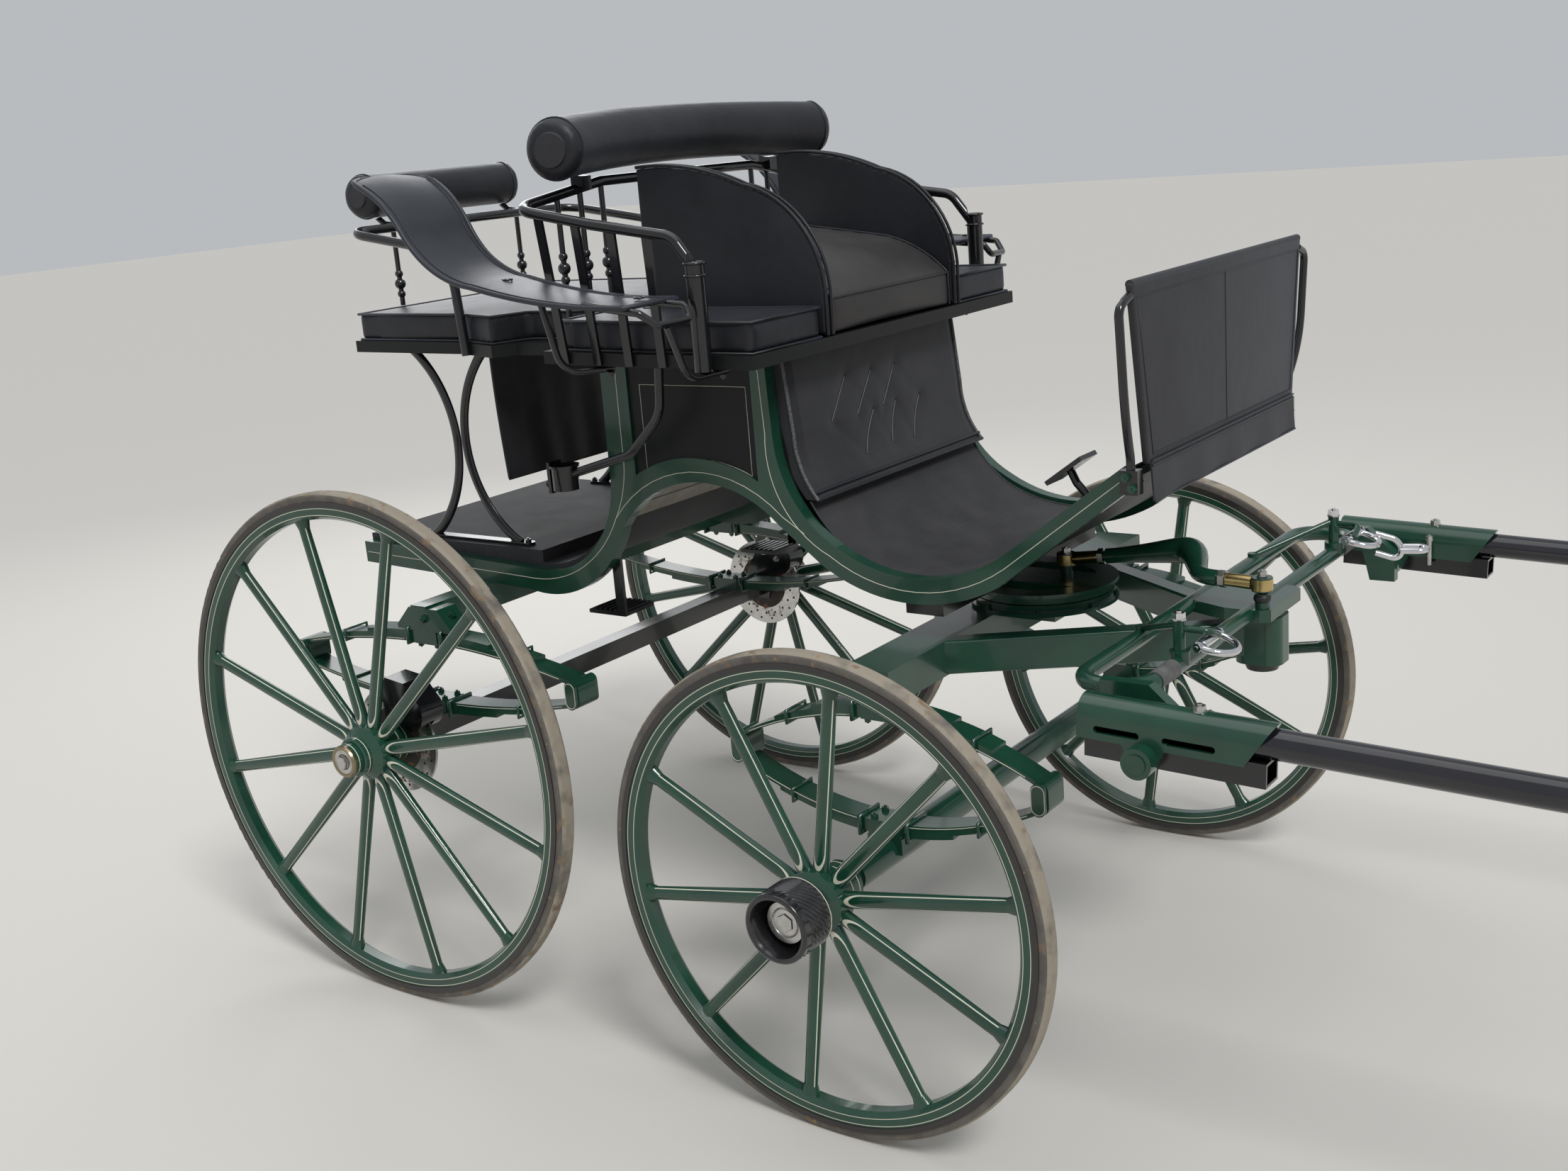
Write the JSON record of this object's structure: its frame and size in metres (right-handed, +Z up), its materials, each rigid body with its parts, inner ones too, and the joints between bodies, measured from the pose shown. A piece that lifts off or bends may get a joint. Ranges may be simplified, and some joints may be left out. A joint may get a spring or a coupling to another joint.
{
  "type": "horse drawn carriage",
  "caption": "Light sprung carriage with a cut-under body, back-to-back seats, spoked wheels, a turning fore-carriage and hinged shafts.",
  "frame": {"origin": "on the ground under the middle of the whole length, on the centreline", "axes": "+X forward along the shafts, +Y to the carriage's left, +Z up"},
  "size_m": [3.7299, 1.512, 1.566],
  "materials": {
    "green_paint": "gloss",
    "black_paint": "gloss",
    "black_leather": "satin",
    "floor_mat": "matt",
    "tyre_rubber": "matt",
    "chrome": "polished",
    "brake_steel": "brushed",
    "black_plastic": "matt"
  },
  "bodies": {
    "body": {"arch_boards": "black_paint", "back_roll": "black_leather", "brake_calipers": "brake_steel", "brake_pedal": "black_paint", "dash_irons": "black_paint", "dashboard": "black_leather", "driver_cushion": "black_leather", "footboard_irons": "black_paint", "front_cushion": "black_leather", "front_floor": "floor_mat", "front_member": "black_paint", "heel_panel": "black_leather", "lamp_socket": "black_paint", "mudguard_irons": "black_paint", "mudguards": "black_leather", "quilt_panel": "black_leather", "rear_axle": "black_paint", "rear_cushion": "black_leather", "rear_floor": "floor_mat", "rear_member": "green_paint", "rear_rail": "black_paint", "rear_roll": "black_leather", "rear_springs": "green_paint", "seat_board": "black_paint", "seat_ends": "black_leather", "seat_rail": "black_paint", "side_frame_left": "green_paint", "side_frame_right": "green_paint", "steps": "black_paint", "upper_turntable": "green_paint", "whip_sockets": "black_paint"},
    "fore_carriage": {"fore_frame": "green_paint", "lower_turntable": "green_paint", "front_axle": "green_paint", "front_springs": "green_paint"},
    "draft_gear": {"draft_frame": "green_paint", "trace_shackles": "green_paint"},
    "link": {"steering_link": "green_paint"},
    "right_shaft": {"shaft_right": "black_paint", "shaft_socket_right": "green_paint", "shaft_carrier_right": "black_paint"},
    "rear_wheel_right": {"rear_wheel_right": "green_paint", "rear_tyre_right": "tyre_rubber", "rear_hub_cap_right": "chrome", "rear_disc_right": "brake_steel"},
    "front_wheel_right": {"front_wheel_right": "green_paint", "front_tyre_right": "tyre_rubber", "front_hub_cap_right": "black_plastic"},
    "left_shaft": {"shaft_left": "black_paint", "shaft_socket_left": "green_paint", "shaft_carrier_left": "black_paint"},
    "rear_wheel_left": {"rear_wheel_left": "green_paint", "rear_tyre_left": "tyre_rubber", "rear_hub_cap_left": "chrome", "rear_disc_left": "brake_steel"},
    "front_wheel_left": {"front_wheel_left": "green_paint", "front_tyre_left": "tyre_rubber", "front_hub_cap_left": "black_plastic"}
  },
  "joints": [
    {"name": "steering", "type": "hinge", "parent": "body", "child": "fore_carriage", "pos_m": [-0.345, 0, 0.704], "axis": [0, 0, 1], "range_deg": [-30, 30]},
    {"name": "draft_pivot", "type": "hinge", "parent": "fore_carriage", "child": "draft_gear", "pos_m": [0.042, 0, 0.69], "axis": [0, 0, 1], "range_deg": [-22, 22]},
    {"name": "link_pivot", "type": "hinge", "parent": "body", "child": "link", "pos_m": [-0.317, 0.034, 0.757], "axis": [0, 0, 1], "range_deg": [-34, 34]},
    {"name": "right_shaft_hinge", "type": "hinge", "parent": "draft_gear", "child": "right_shaft", "pos_m": [0.09, -0.54, 0.664], "axis": [0, -1, 0], "range_deg": [-25, 70]},
    {"name": "left_shaft_hinge", "type": "hinge", "parent": "draft_gear", "child": "left_shaft", "pos_m": [0.09, 0.54, 0.664], "axis": [0, -1, 0], "range_deg": [-25, 70]},
    {"name": "rear_right_wheel_spin", "type": "hinge", "parent": "body", "child": "rear_wheel_right", "pos_m": [-1.385, -0.64, 0.48], "axis": [0, 1, 0], "continuous": true},
    {"name": "rear_left_wheel_spin", "type": "hinge", "parent": "body", "child": "rear_wheel_left", "pos_m": [-1.385, 0.64, 0.48], "axis": [0, 1, 0], "continuous": true},
    {"name": "front_right_wheel_spin", "type": "hinge", "parent": "fore_carriage", "child": "front_wheel_right", "pos_m": [-0.405, -0.64, 0.39], "axis": [0, 1, 0], "continuous": true},
    {"name": "front_left_wheel_spin", "type": "hinge", "parent": "fore_carriage", "child": "front_wheel_left", "pos_m": [-0.405, 0.64, 0.39], "axis": [0, 1, 0], "continuous": true}
  ],
  "couplings": [
    {"joint": "draft_pivot", "follows": "steering", "ratio": 0.72},
    {"joint": "link_pivot", "follows": "steering", "ratio": 1.11}
  ]
}
